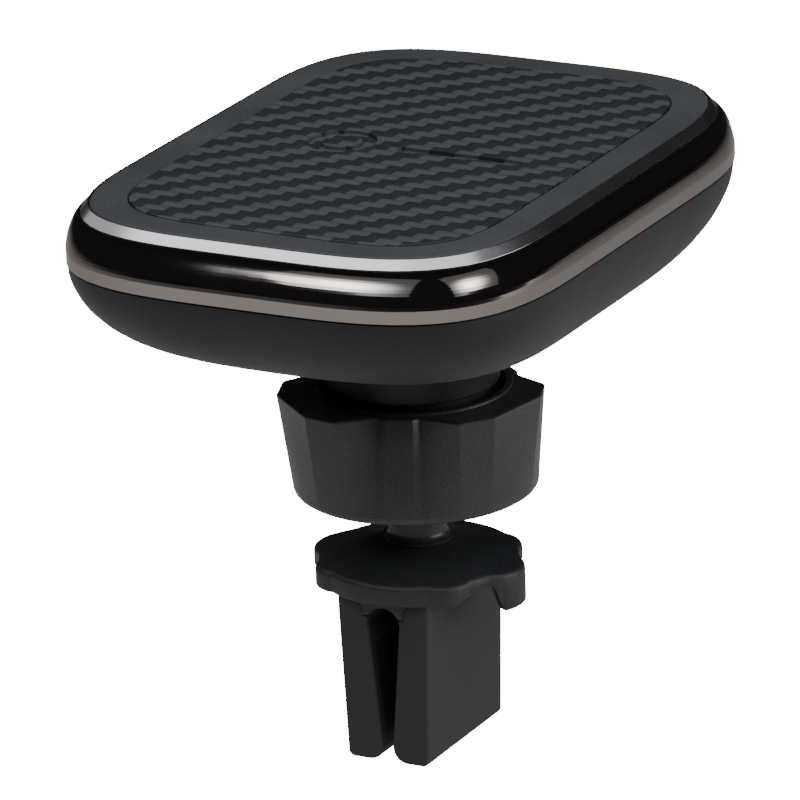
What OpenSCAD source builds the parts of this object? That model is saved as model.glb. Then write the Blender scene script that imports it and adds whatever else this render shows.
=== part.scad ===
// Magnetic phone mount for a car's air vent: a rounded head that carries the phone, a ball joint with a
// lock nut, and a clip with two sprung jaws. The origin is the centre of the round end of the blade slot,
// where the blade's edge rests. +Z points to the phone, +X across the jaws and +Y along the blade.

/* [Head] */
// Half width of the front frame, across the jaws
head_x = 25.9; // [24:0.1:28]
// Half length of the front frame, along the blade
head_y = 36.1; // [34:0.1:40]
// Corner radius of the front frame
head_r = 22; // [16:0.5:23]
// How square the corners are, 2 is a circle
corner_n = 3.2; // [2:0.1:4]
// Width of the soft frame round the inlay
frame_w = 4.1; // [3:0.1:5]
// How far the bezel stands out from the frame
bezel_w = 2.8; // [2.2:0.1:3.4]
// Depth of the rear shell
shell_h = 11; // [9:0.1:12]
// Height of the phone face over the origin
face_z = 53.5; // [53:0.1:55]

/* [Ball joint] */
// Diameter of the ball
ball_d = 17; // [16.4:0.1:17]
// Height of the ball's centre over the origin
ball_z = 22; // [22:0.1:22.5]
// Diameter of the stem under the ball
stem_d = 6.6; // [5:0.1:6.8]
// Thickness of the seats round the ball
seat_t = 0.45; // [0.3:0.05:0.45]
// Radius of the thread on the socket
thread_r = 10.4; // [10.3:0.05:10.6]

/* [Lock nut] */
// Radius of the nut's lobes at its top
nut_r = 15.4; // [14.5:0.1:16]
// Radius of the nut at its bottom
nut_foot_r = 13.9; // [13.2:0.1:14.2]
// Radius inside the three finger flats at the top
nut_flat_r = 12; // [11.8:0.1:12.8]
// Height of the nut
nut_h = 12.1; // [11.8:0.1:12.3]

/* [Clip] */
// Half width of the clip's flange without its ears
flange_x = 9.6; // [9:0.1:9.8]
// Half length of the clip's flange, along the blade
flange_y = 9.6; // [9.4:0.1:10]
// Reach of each ear from the middle
ear_x = 12.9; // [12.4:0.1:13.6]
// Half width of an ear
ear_y = 4; // [3.4:0.1:4.6]
// Half width over both jaws
jaw_x = 5.7; // [5.5:0.1:6.2]
// Half length of the jaws, along the blade
jaw_y = 9.3; // [8.5:0.1:9.4]
// Length of the jaws below the blade slot's round end
jaw_h = 16.5; // [14:0.5:18]
// Radius of the slot's round end
slot_r = 2; // [1.6:0.1:2.1]
// Gap between the jaws near their tips
tip_gap = 1.2; // [0.8:0.1:1.6]

/* [Magnets] */
// Radius of a magnet
magnet_r = 7; // [5:0.5:7]
// Thickness of a magnet
magnet_h = 3; // [2:0.25:3]

/* [Hidden] */
$fn = 72;
fit = 0.05;                     // running clearance, radial
gap = 0.1;                      // gap between neighbouring covers
corner_steps = 12;
corner_growth = 1.35;           // corner radius gained for each millimetre of offset

// Heights
inlay_t = 0.8;
glue_t = 0.2;
frame_top = face_z - 0.1;
frame_floor = 1.9;
frame_low = face_z - inlay_t - glue_t - frame_floor;
bevel_low = frame_top - 1.2;
band_from = 17;                 // the bezel's polished band is the part of an ellipse between two angles
band_to = 80;
strip_top = face_z - 5.2;
strip_low = face_z - 6.7;
shell_top = strip_low - 0.2;
shell_low = shell_top - shell_h;
shell_wall = 1.8;
shell_turn = 9;                 // how far the shell curves in before its flat back
shell_turn_y = 1.6;             // the ends curve in this many times as far
floor_z = shell_low + shell_wall;
pad_t = 0.5;
tray_top = frame_low - pad_t - 0.05;
tray_low = tray_top - magnet_h;
yoke_t = 1.2;
yoke_low = tray_low - yoke_t;

// Neck and socket
neck_r = 9.9;
neck_top_r = 16;
neck_low = 26.5;
neck_bore = 8.95;
socket_top = floor_z - 2.9;
ball_r = ball_d / 2;
cavity_r = ball_r + seat_t + 2 * fit;
socket_low = ball_z - 5;
shoulder_z = neck_low - 1;
cone_top = ball_z - 3;
socket_tip_r = 8.9;

// Nut
nut_top = ball_z + 3.8;
nut_low = nut_top - nut_h;
nut_mouth = 8.4;
lip_r = 11.3;

// Clip
rim_z = 5.4;
flange_low = 3.1;
apex_z = 8;
lip_low = 1;
lip_t = 1.4;
lip_y = 2.8;
root_low = 0.9;
seam = 0.05;                    // gap under the root, over the jaws
pivot_x = 4.4;
pivot_z = 1.2;
knuckle_r = 1.8;                // cut flush with the jaw's outer face
jaw_taper = 0.6;
tip_r = 1.8;
face_top = -0.9;                // where the slot's round end meets the inner faces
pad_depth = 0.7;
pad_top = -2.6;
pad_low = 3.2 - jaw_h;
foot_r = 4.6;
foot_low = 3.6;
foot_top = 5;

// Screws
screw_r = 1.25;
screw_head_r = 2.3;
screw_head_h = 1.3;
tray_screw_at = [for (sx = [-1, 1], sy = [-1, 1]) [13.6 * sx, 10 * sy]];
frame_screw_at = [for (sx = [-1, 1], sy = [-1, 1]) [18.7 * sx, 19.5 * sy]];
socket_screw_at = [for (i = [0:2]) 6 * [cos(120 * i + 90), sin(120 * i + 90)]];
magnet_at = [for (sx = [-1, 1], iy = [-1:1]) [8.2 * sx, 19.6 * iy]];

// A rectangle whose corners follow a superellipse, as a list of points
function corner(a, b, r) = [for (i = [0:corner_steps]) let (t = 90 * i / corner_steps)
    [a - r + r * pow(cos(t), 2 / corner_n), b - r + r * pow(sin(t), 2 / corner_n)]];
function backwards(l) = [for (i = [len(l) - 1:-1:0]) l[i]];
function pillow(a, b, r) = let (q = corner(a, b, min(r, a - 0.3, b - 0.3))) concat(q,
    [for (p = backwards(q)) [-p.x, p.y]], [for (p = q) [-p.x, -p.y]], [for (p = backwards(q)) [p.x, -p.y]]);
// The head's outline, set out by off from the front frame's edge
function head_outline(off) = pillow(head_x + off, head_y + off, head_r + corner_growth * off);
function at_z(pts, z) = [for (p = pts) [p.x, p.y, z]];
function flat(l) = [for (a = l) for (b = a) b];
function sides(n, k, first, last) = [for (i = [first:last], j = [0:n - 1], h = [0, 1])
    let (up = (i + 1) % k, next = (j + 1) % n)
    h == 0 ? [i * n + j, up * n + j, up * n + next] : [i * n + j, up * n + next, i * n + next]];

// A closed solid through sections given from the lowest up
module loft(sections) {
    n = len(sections[0]);
    k = len(sections);
    polyhedron(flat(sections), concat(sides(n, k, 0, k - 2), [[for (j = [0:n - 1]) j],
        [for (j = [n - 1:-1:0]) (k - 1) * n + j]]));
}

// A closed ring through sections that go up its outside and down its inside
module loft_ring(sections) {
    n = len(sections[0]);
    k = len(sections);
    polyhedron(flat(sections), sides(n, k, 0, k - 1));
}

// A plate with the head's outline
module head_plate(off, low, high) {
    translate([0, 0, low]) linear_extrude(high - low) polygon(head_outline(off));
}

// A plain rectangular plate with round corners
module round_plate(x, y, r, low, high) {
    translate([0, 0, low]) linear_extrude(high - low) {
        square([2 * (x - r), 2 * y], center = true);
        square([2 * x, 2 * (y - r)], center = true);
        for (sx = [-1, 1], sy = [-1, 1]) translate([sx * (x - r), sy * (y - r)]) circle(r);
    }
}

// A screw whose head stands on height z and whose shank goes down by length
module screw(z, length) {
    difference() {
        union() {
            translate([0, 0, z]) cylinder(r = screw_head_r, h = screw_head_h);
            translate([0, 0, z - length]) cylinder(r = screw_r, h = length);
            translate([0, 0, z - length - 0.8]) cylinder(r1 = 0.4, r2 = screw_r, h = 0.8);
        }
        translate([0, 0, z + 0.4]) cylinder(r = 1.1, h = screw_head_h, $fn = 6);
    }
}

module holes(places, r, low, high) {
    for (p = places) translate([p.x, p.y, low]) cylinder(r = r, h = high - low);
}

// Head
module front_inlay() {
    color([0.20, 0.22, 0.25]) head_plate(-frame_w - gap, face_z - inlay_t, face_z);
}

module inlay_adhesive() {
    color([0.85, 0.85, 0.8]) head_plate(-frame_w - 1.2, face_z - inlay_t - glue_t, face_z - inlay_t);
}

module front_frame() {
    color([0.25, 0.27, 0.29]) difference() {
        head_plate(0, frame_low, frame_top);
        head_plate(-frame_w, frame_low + frame_floor, face_z + 1);
        holes(frame_screw_at, screw_r + gap, frame_low - 1, face_z);
        holes(frame_screw_at, screw_head_r + gap, frame_low + 0.5, face_z);
    }
}

// The part of an ellipse from the point p up to the point q, between two of its angles
function bowed(p, q, from, to, n) = [for (i = [0:n]) let (t = from + (to - from) * i / n)
    [q.x + (p.x - q.x) * (cos(t) - cos(to)) / (cos(from) - cos(to)),
        p.y + (q.y - p.y) * (sin(t) - sin(from)) / (sin(to) - sin(from))]];

module bezel_ring() {
    profile = concat([[bezel_w - 1.5, strip_low], [bezel_w, strip_low]],
        bowed([bezel_w, strip_top], [1.1, bevel_low], band_from, band_to, 6),
        [[0.3, frame_top - 0.1], [gap, frame_top - 0.1], [gap, frame_low - gap], [-1.6, frame_low - gap],
        [-1.6, frame_low - 1.3], [bezel_w - 1.5, frame_low - 1.3]]);
    color([0.30, 0.28, 0.27]) loft_ring([for (p = profile) at_z(head_outline(p[0]), p[1])]);
}

function shell_section(t, wall) = let (turn = shell_turn * pow(1 - cos(t), 0.9))
    at_z(pillow(head_x + bezel_w - gap - wall - turn, head_y + bezel_w - gap - wall - shell_turn_y * turn,
        head_r + corner_growth * bezel_w - wall - turn / 4), shell_top - (shell_h - wall) * sin(t));

module neck_outside() {
    rotate_extrude() polygon(concat([[0, shell_low + 0.9], [0, neck_low], [neck_r, neck_low]],
        [for (t = [0:10:90]) [neck_r + (neck_top_r - neck_r) * (1 - cos(t)),
            neck_low + (shell_low - neck_low) * sin(t)]], [[neck_top_r, shell_low + 0.9]]));
}

module rear_shell() {
    color([0.15, 0.16, 0.17]) difference() {
        union() {
            difference() {
                union() {
                    loft([for (t = [90:-10:0]) shell_section(t, 0)]);
                    head_plate(bezel_w - 1.5 - gap, shell_top - 1, shell_top + 2);
                }
                loft([for (t = [90:-15:0]) shell_section(t, shell_wall)]);
                head_plate(bezel_w - 3, shell_top - 1.5, shell_top + 3);
            }
            neck_outside();
            translate([0, 0, floor_z - 3]) cylinder(r = neck_bore + 2, h = 3);
            holes(tray_screw_at, 2.6, floor_z - 1, yoke_low);
            holes(frame_screw_at, 2.1, shell_top - 3, frame_low - fit);
            intersection() {
                holes(frame_screw_at, 2.1, shell_low, shell_top - 2);
                loft([for (t = [90:-15:0]) shell_section(t, shell_wall / 2)]);
            }
        }
        translate([0, 0, neck_low - 1]) cylinder(r = neck_bore, h = socket_top - neck_low + 1);
        holes(socket_screw_at, screw_r + gap, socket_top - 1, floor_z + 1);
        holes(tray_screw_at, screw_r, yoke_low - 5.5, yoke_low + 1);
        holes(frame_screw_at, screw_r, frame_low - 9, frame_low);
    }
}

module foam_pad() {
    color([0.1, 0.1, 0.1]) round_plate(16.2, 27.6, 4, frame_low - pad_t, frame_low);
}

module magnets() {
    color([0.75, 0.75, 0.77]) holes(magnet_at, magnet_r, tray_low, tray_top);
}

module magnet_tray() {
    color([0.2, 0.2, 0.2]) difference() {
        round_plate(16.4, 27.8, 4, tray_low, tray_top);
        holes(magnet_at, magnet_r + fit, tray_low - 1, tray_top + 1);
        holes(tray_screw_at, screw_r + gap, tray_low - 1, tray_top + 1);
        holes(tray_screw_at, screw_head_r + gap, tray_top - screw_head_h - 0.2, tray_top + 1);
    }
}

module steel_yoke() {
    color([0.6, 0.6, 0.62]) difference() {
        round_plate(16.4, 27.8, 4, yoke_low, tray_low);
        holes(tray_screw_at, screw_r + gap, yoke_low - 1, tray_low + 1);
    }
}

module tray_screws() {
    color([0.5, 0.5, 0.52]) for (p = tray_screw_at) translate(p)
        screw(tray_top - screw_head_h - 0.2, magnet_h + yoke_t + 2);
}

module frame_screws() {
    color([0.5, 0.5, 0.52]) for (p = frame_screw_at) translate(p) screw(frame_low + 0.5, 7.5);
}

// Ball joint
module ball_socket() {
    color([0.12, 0.12, 0.13]) difference() {
        rotate_extrude() polygon([[0, socket_top], [neck_bore - fit, socket_top],
            [neck_bore - fit, shoulder_z], [thread_r, shoulder_z - 0.5], [thread_r, cone_top],
            [socket_tip_r, socket_low], [0, socket_low]]);
        translate([0, 0, ball_z]) sphere(cavity_r);
        for (a = [30:60:150]) rotate(a) translate([-15, -0.5, socket_low - 1])
            cube([30, 1, ball_z + 1.5 - socket_low]);
        holes(socket_screw_at, screw_r, socket_top - 4.6, socket_top + 1);
    }
}

module socket_screws() {
    color([0.5, 0.5, 0.52]) for (p = socket_screw_at) translate(p) screw(floor_z, 6);
}

// The part of a thin ball shell between two angles from the top
module seat(from, to) {
    inner = ball_r + fit;
    outer = inner + seat_t;
    translate([0, 0, ball_z]) rotate_extrude() polygon(concat(
        [for (t = [from:(to - from) / 8:to + 0.01]) outer * [sin(t), cos(t)]],
        [for (t = [to:(from - to) / 8:from - 0.01]) inner * [sin(t), cos(t)]]));
}

module ball_pad() {
    color([0.8, 0.8, 0.75]) seat(12, 58);
}

module ball_seat_ring() {
    color([0.8, 0.8, 0.75]) seat(95, 127);
}

// Corners of the nut's top outline over one third of a turn, as an angle and a radius
function nut_corners() = [[-28, nut_r - 0.5], [-9, nut_flat_r - 0.1], [-3, nut_flat_r + 0.3],
    [3, nut_flat_r + 0.3], [9, nut_flat_r - 0.1], [28, nut_r - 0.5], [44, nut_r], [76, nut_r]];
function nut_turned() = [for (k = [0:2], c = nut_corners()) [c[0] + 120 * k - 70, c[1]]];
function between(a, b, n) = [for (i = [0:n - 1]) a + (b - a) * i / n];
// The top outline, its straight sides divided so that each point has a partner on the round foot
function nut_outline() = let (c = [for (p = nut_turned()) p[1] * [cos(p[0]), sin(p[0])]], n = len(c))
    flat([for (i = [0:n - 1]) between(c[i], c[(i + 1) % n], 4)]);
function nut_section(mix, r, z) = [for (p = nut_outline()) let (d = norm(p), s = mix * d + (1 - mix) * r)
    [p.x / d * s, p.y / d * s, z]];

module lock_nut() {
    color([0.2, 0.21, 0.22]) difference() {
        union() {
            translate([0, 0, nut_top - 1]) cylinder(r = lip_r, h = 1.25);
            loft([nut_section(0, nut_foot_r - 0.8, nut_low),
                nut_section(0, nut_foot_r - 0.25, nut_low + 0.25),
                nut_section(0.02, nut_foot_r, nut_low + 0.8), nut_section(1, 0, nut_top - 0.2),
                nut_section(1, 0, nut_top)]);
        }
        translate([0, 0, cone_top]) cylinder(r = thread_r + fit, h = nut_h);
        translate([0, 0, nut_low - 0.01]) cylinder(r1 = nut_mouth, r2 = nut_mouth + 0.3, h = 2.5);
        translate([0, 0, socket_low - 0.9]) cylinder(r1 = socket_tip_r - 0.2, r2 = thread_r + fit,
            h = cone_top - socket_low + 0.91);
        translate([0, 0, nut_low + 1]) cylinder(r = nut_mouth, h = 4);
        for (k = [0:2]) rotate(120 * k - 10) translate([13, 0, nut_top - 0.25]) linear_extrude(1)
            polygon([[-0.6, 0.9], [0, -0.9], [0.6, 0.9]]);
    }
}

// Clip
module ball_stud() {
    color([0.18, 0.18, 0.19]) {
        translate([0, 0, ball_z]) sphere(ball_r);
        translate([0, 0, foot_top]) cylinder(d = stem_d, h = ball_z - ball_r + 1 - foot_top);
        translate([0, 0, foot_low]) cylinder(r = foot_r, h = foot_top - foot_low);
    }
}

module flange_outline() {
    r = 3.2;
    square([2 * flange_x, 2 * (flange_y - r)], center = true);
    square([2 * (flange_x - r), 2 * flange_y], center = true);
    for (sx = [-1, 1], sy = [-1, 1]) {
        translate([sx * (flange_x - r), sy * (flange_y - r)]) circle(r);
        translate([sx * (ear_x - ear_y + 0.6), sy * 0.6]) circle(ear_y - 0.6);
    }
    square([2 * (ear_x - ear_y + 0.6), 2 * ear_y], center = true);
}

// The flange's domed top, as a solid of revolution
module dome() {
    reach = ear_x + 1;
    rotate_extrude() polygon(concat([[0, 0], [reach, 0]],
        [for (i = [10:-1:0]) let (rise = 1 - i / 10)
            [reach - (reach - stem_d / 2) * rise, rim_z + (apex_z - rim_z) * pow(rise, 1.7)]],
        [[0, apex_z]]));
}

module clip_body() {
    color([0.2, 0.21, 0.22]) difference() {
        union() {
            intersection() {
                translate([0, 0, flange_low]) linear_extrude(6) flange_outline();
                dome();
            }
            // pull lip under the right ear
            intersection() {
                translate([0, 0, lip_low]) linear_extrude(rim_z - lip_low - 0.5) flange_outline();
                translate([ear_x - lip_t / 2, 0, rim_z / 2]) cube([lip_t, 2 * lip_y, 12], center = true);
            }
            // root between the jaws' knuckles
            translate([-jaw_x, -jaw_y, root_low]) cube([2 * jaw_x, 2 * jaw_y, flange_low + 0.1 - root_low]);
        }
        rotate([90, 0, 0]) cylinder(r = slot_r, h = 40, center = true);
        for (sx = [-1, 1]) {
            translate([sx * pivot_x, 0, pivot_z]) rotate([90, 0, 0])
                cylinder(r = knuckle_r + fit, h = 40, center = true);
            translate([sx * (pivot_x + 3), 0, 0]) cube([6, 40, 2 * pivot_z], center = true);
        }
        translate([0, 0, foot_top - 0.01]) cylinder(d = stem_d, h = 10);
        translate([0, 0, foot_low]) cylinder(r = foot_r, h = foot_top - foot_low);
    }
}

// How far the jaw's inner face stands from the middle at height z
function inner_x(z) = tip_gap / 2
    + (slot_r - 0.15 - tip_gap / 2) * (z + jaw_h - tip_r) / (face_top + jaw_h - tip_r);

// Points of an arc from one angle to another
function arc(x, z, r, from, to, n) = [for (i = [0:n]) let (t = from + (to - from) * i / n)
    [x + r * cos(t), z + r * sin(t)]];

// The right jaw's end view. Below the round end of the slot the gap narrows to the tips, which are rounded.
module jaw_outline() {
    low_x = jaw_x - jaw_taper;
    difference() {
        union() {
            polygon(concat([[1.4, root_low - seam], [inner_x(face_top), face_top]],
                arc(inner_x(tip_r - jaw_h) + tip_r, tip_r - jaw_h, tip_r, 180, 270, 8),
                arc(low_x - 0.8, 0.8 - jaw_h, 0.8, 270, 360, 5),
                [[jaw_x, pivot_z], [pivot_x, pivot_z], [pivot_x - 1, root_low - seam]]));
            intersection() {
                translate([pivot_x, pivot_z]) circle(knuckle_r);
                translate([0, -jaw_h]) square([jaw_x, 2 * jaw_h]);
            }
        }
        circle(slot_r);
    }
}

// A strip along the right jaw's inner face, from out in front of it to depth behind it
module face_strip(out, depth, side) {
    rotate([90, 0, 0]) translate([0, 0, side - jaw_y]) linear_extrude(2 * (jaw_y - side))
        polygon([[inner_x(pad_low) - out, pad_low], [inner_x(pad_low) + depth, pad_low],
            [inner_x(pad_top) + depth, pad_top], [inner_x(pad_top) - out, pad_top]]);
}

// The right jaw with a pocket for its grip pad
module jaw() {
    difference() {
        rotate([90, 0, 0]) translate([0, 0, -jaw_y]) linear_extrude(2 * jaw_y) jaw_outline();
        face_strip(0.5, pad_depth, 1.2);
    }
}

module left_jaw() {
    color([0.2, 0.21, 0.22]) mirror([1, 0, 0]) jaw();
}

module right_jaw() {
    color([0.2, 0.21, 0.22]) jaw();
}

module left_grip_pad() {
    color([0.08, 0.08, 0.08]) mirror([1, 0, 0]) face_strip(0, pad_depth, 1.2);
}

module right_grip_pad() {
    color([0.08, 0.08, 0.08]) face_strip(0, pad_depth, 1.2);
}

front_inlay();
inlay_adhesive();
front_frame();
bezel_ring();
rear_shell();
foam_pad();
magnets();
magnet_tray();
steel_yoke();
tray_screws();
frame_screws();
ball_socket();
socket_screws();
ball_pad();
ball_seat_ring();
lock_nut();
ball_stud();
clip_body();
left_jaw();
right_jaw();
left_grip_pad();
right_grip_pad();
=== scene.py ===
"""Visual model of a magnetic phone mount for a car's air vent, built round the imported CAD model."""

import math

import bpy
import numpy as np
from bpy.props import FloatProperty, FloatVectorProperty, PointerProperty
from mathutils import Matrix, Vector


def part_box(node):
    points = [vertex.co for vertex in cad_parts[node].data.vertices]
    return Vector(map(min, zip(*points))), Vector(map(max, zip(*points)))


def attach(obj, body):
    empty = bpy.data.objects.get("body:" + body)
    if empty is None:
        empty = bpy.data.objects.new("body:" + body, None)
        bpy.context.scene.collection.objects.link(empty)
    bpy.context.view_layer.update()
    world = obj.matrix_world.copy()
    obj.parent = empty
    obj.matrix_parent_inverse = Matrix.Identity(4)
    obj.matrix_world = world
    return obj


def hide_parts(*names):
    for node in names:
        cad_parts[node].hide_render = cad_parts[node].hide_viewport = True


bl_info = {
    "name": "Magnetic vent mount",
    "version": (1, 0, 0),
    "blender": (4, 5, 0),
    "location": "View3D > Sidebar > Mount",
    "description": "Builds a magnetic phone mount with a ball joint and a vent clip",
    "category": "Add Mesh",
}

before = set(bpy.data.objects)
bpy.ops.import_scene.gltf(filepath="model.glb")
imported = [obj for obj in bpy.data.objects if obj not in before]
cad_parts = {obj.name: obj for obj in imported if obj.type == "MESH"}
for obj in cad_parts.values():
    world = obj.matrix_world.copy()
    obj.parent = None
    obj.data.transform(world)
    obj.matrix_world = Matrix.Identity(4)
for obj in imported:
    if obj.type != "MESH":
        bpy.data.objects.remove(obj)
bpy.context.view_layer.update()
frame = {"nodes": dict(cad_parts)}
MM = 0.001


def cad(node):
    """Half size in X and Y, lowest and highest z of a CAD node, in millimetres."""
    low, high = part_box(node)
    return high[0] / MM, high[1] / MM, low[2] / MM, high[2] / MM


# Heights and half sizes that come from the frame
HEAD_X, HEAD_Y, FRAME_LOW, FRAME_TOP = cad("front_frame")
BEZEL_X, _, STRIP_LOW, _ = cad("bezel_ring")
INLAY_X, _, INLAY_LOW, FACE = cad("front_inlay")
_, _, NECK_LOW, SHELL_LIP = cad("rear_shell")
_, _, SOCKET_LOW, SOCKET_TOP = cad("ball_socket")
_, _, NUT_LOW, LIP_TOP = cad("lock_nut")
EAR_X, FLANGE_Y, ROOT_LOW, APEX = cad("clip_body")
JAW_X, JAW_Y, JAW_LOW, _ = cad("right_jaw")
_, _, FOOT_LOW, BALL_TOP = cad("ball_stud")
BEZEL_W = BEZEL_X - HEAD_X
FRAME_W = HEAD_X - INLAY_X - 0.1


# --- Numpy surfaces -------------------------------------------------------------------------------

def outline(a, b, r, power, steps=20):
    """A rectangle of half size a by b whose corners of size r follow a superellipse.

    In each corner the point at angle t lies at r / (|cos t|^p + |sin t|^p)^(1/p) from the corner's centre.
    a, b and r may be arrays of k values, which give k outlines of the same number of points.
    An r above a or b isn't limited, and makes the outline fold over itself.
    """
    a, b, r = (np.atleast_1d(v).astype(float)[:, None] for v in (a, b, r))
    quarter = np.linspace(0, np.pi / 2, steps + 1)
    t = (quarter[None, :] + np.arange(4)[:, None] * np.pi / 2).ravel()
    sign_x = np.repeat([1, -1, -1, 1], steps + 1)
    sign_y = np.repeat([1, 1, -1, -1], steps + 1)
    reach = (np.abs(np.cos(t)) ** power + np.abs(np.sin(t)) ** power) ** (-1 / power)
    return np.stack([sign_x * (a - r) + r * reach * np.cos(t), sign_y * (b - r) + r * reach * np.sin(t)], -1)


def arc(x, y, r, start, end, steps=8):
    """Points of a circle's arc between two angles in degrees."""
    t = np.radians(np.linspace(start, end, steps + 1))
    return np.stack([x + r * np.cos(t), y + r * np.sin(t)], -1)


def rounded(points, radii, steps=5, hold=0.08, closed=True):
    """A polygon with each corner replaced by an arc, and a point just before and after the arc.

    The arc of radius r touches both sides r / tan(half the corner's angle) from the corner, and runs between
    its two ends as a spherical interpolation of the directions from its centre.
    """
    p = np.asarray(points, float)
    corner = p if closed else p[1:-1]
    before = np.roll(p, 1, 0) if closed else p[:-2]
    after = np.roll(p, -1, 0) if closed else p[2:]
    r = np.broadcast_to(np.asarray(radii, float), len(corner))[:, None]
    u = (before - corner) / np.linalg.norm(before - corner, axis=1, keepdims=True)
    v = (after - corner) / np.linalg.norm(after - corner, axis=1, keepdims=True)
    half = np.arccos(np.clip((u * v).sum(1, keepdims=True), -1, 1)) / 2
    touch = r / np.tan(half)
    middle = corner + (u + v) / np.linalg.norm(u + v, axis=1, keepdims=True) * r / np.sin(half)
    start, end = corner + u * touch - middle, corner + v * touch - middle
    turn = (np.pi - 2 * half)[:, None]
    s = np.linspace(0, 1, steps + 1)[None, :, None]
    bend = (np.sin((1 - s) * turn) * start[:, None] + np.sin(s * turn) * end[:, None]) / np.sin(turn)
    ends = [(corner + w * (touch + hold))[:, None] for w in (u, v)]
    ring = np.concatenate([ends[0], middle[:, None] + bend, ends[1]], 1).reshape(-1, 2)
    return ring if closed else np.concatenate([p[:1], ring, p[-1:]])


def inset(ring, depth):
    """A closed outline moved inwards by depth: each point along the mean of its two sides' normals."""
    side = np.roll(ring, -1, 0) - ring
    side /= np.linalg.norm(side, axis=1, keepdims=True)
    normal = np.stack([-side[:, 1], side[:, 0]], -1)
    mean = normal + np.roll(normal, 1, 0)
    mean /= np.maximum((mean ** 2).sum(1, keepdims=True) / 2, 0.5)
    return ring + mean * depth


def at(xy, z):
    """Rows of points (k, n, 2) lifted to the heights z, one for each row or one for each point."""
    z = np.asarray(z, float)
    z = np.broadcast_to(z[:, None] if z.ndim == 1 else z, xy.shape[:2])
    return np.concatenate([xy, z[..., None]], -1)


def skin(rows, loop=False):
    """A closed surface through rows of points (k, n, 3): quads between rows, a face over each open end."""
    k, n = rows.shape[:2]
    i, j = np.meshgrid(np.arange(k if loop else k - 1), np.arange(n), indexing="ij")
    up, nxt = (i + 1) % k, (j + 1) % n
    quads = np.stack([i * n + j, i * n + nxt, up * n + nxt, up * n + j], -1).reshape(-1, 4).tolist()
    ends = [] if loop else [list(range(n - 1, -1, -1)), list(range((k - 1) * n, k * n))]
    return rows.reshape(-1, 3), quads + ends


def lathe(profile, segments=96, loop=False):
    """A profile of (radius, height) turned about Z."""
    t = np.arange(segments) * 2 * np.pi / segments
    circle = np.stack([np.cos(t), np.sin(t)], -1)
    return skin(at(profile[:, None, :1] * circle[None], profile[:, 1]), loop)


def bar(shape, half, edge, firm, side, steps=5):
    """An end view of (x, z) points carried along Y, with its two ends rounded by a quarter circle.

    Each point holds back its share, firm, of the rounding,
    but no point stays beyond the side's own rounding.
    """
    t = np.linspace(0, np.pi / 2, steps + 1)
    depth = np.append(edge * (1 - np.sin(t)), [0])
    y = np.append(half - edge * (1 - np.cos(t)), [half - edge - 0.1])
    depth, y = np.concatenate([depth, depth[::-1]]), np.concatenate([y, -y[::-1]])
    rings = np.stack([shape + (inset(shape, d) - shape) * (1 - firm[:, None]) for d in depth])
    limit = side - depth[:, None]
    rings[..., 0] = np.clip(rings[..., 0], -limit, limit)
    return skin(np.stack([rings[..., 0], np.broadcast_to(y[:, None], rings.shape[:2]), rings[..., 1]], -1))


def mirrored(surface):
    """The surface on the other side of the YZ plane, with its faces turned round."""
    points, faces = surface
    return points * [-1, 1, 1], [f[::-1] for f in faces]


def mesh_of(name, surfaces):
    """One mesh from closed surfaces in millimetres."""
    points = np.concatenate([s[0] for s in surfaces]) * MM
    starts = np.cumsum([0] + [len(s[0]) for s in surfaces])
    faces = [[i + start for i in f] for s, start in zip(surfaces, starts) for f in s[1]]
    mesh = bpy.data.meshes.new(name)
    mesh.from_pydata(points.tolist(), [], faces)
    mesh.validate()
    return mesh


def carve(piece, surfaces):
    """Cuts closed surfaces out of a piece's mesh."""
    cutter = bpy.data.objects.new("cutter", mesh_of("cutter", surfaces))
    bpy.context.scene.collection.objects.link(cutter)
    cut = piece.modifiers.new("cut", "BOOLEAN")
    cut.operation = "DIFFERENCE"
    cut.solver = "EXACT"
    cut.object = cutter
    whole = piece.data
    piece.data = bpy.data.meshes.new_from_object(piece.evaluated_get(bpy.context.evaluated_depsgraph_get()))
    piece.modifiers.clear()
    bpy.data.meshes.remove(whole)
    bpy.data.meshes.remove(cutter.data)


def place(name, surfaces, material, body, slot, *nodes, cuts=(), crease=32):
    """A piece that rides on a body and stands for CAD nodes."""
    piece = bpy.data.objects.new(name, mesh_of(name, surfaces))
    bpy.context.scene.collection.objects.link(piece)
    if cuts:
        carve(piece, cuts)
    piece.data.name = name
    piece.data.shade_smooth()
    piece.data.set_sharp_from_angle(angle=math.radians(crease))
    piece.data.materials.clear()
    piece.data.materials.append(material)
    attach(piece, body)
    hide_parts(*nodes)
    return piece


# --- Finishes -------------------------------------------------------------------------------------

class Nodes:
    """A small helper that adds and links shader nodes in one tree."""

    def __init__(self, tree):
        self.tree = tree

    def add(self, kind, inputs=(), **settings):
        node = self.tree.nodes.new(kind)
        for key, value in settings.items():
            setattr(node, key, value)
        for key, value in dict(inputs).items():
            if isinstance(value, bpy.types.NodeSocket):
                self.tree.links.new(value, node.inputs[key])
            else:
                node.inputs[key].default_value = value
        return node

    def math(self, operation, a, b=0.0, clamp=False):
        return self.add("ShaderNodeMath", {0: a, 1: b}, operation=operation, use_clamp=clamp).outputs[0]

    def mix(self, factor, a, b):
        node = self.add("ShaderNodeMix", {0: factor, 6: a, 7: b}, data_type="RGBA")
        return node.outputs[2]


def new_group(name, inputs, outputs):
    """An empty node group with float or colour sockets."""
    group = bpy.data.node_groups.new(name, "ShaderNodeTree")
    for in_out, sockets in (("INPUT", inputs), ("OUTPUT", outputs)):
        for label, kind in sockets.items():
            group.interface.new_socket(label, in_out=in_out, socket_type=kind)
    nodes = Nodes(group)
    return group, nodes, nodes.add("NodeGroupInput").outputs, nodes.add("NodeGroupOutput").inputs


FLOAT, COLOUR = "NodeSocketFloat", "NodeSocketColor"


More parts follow.
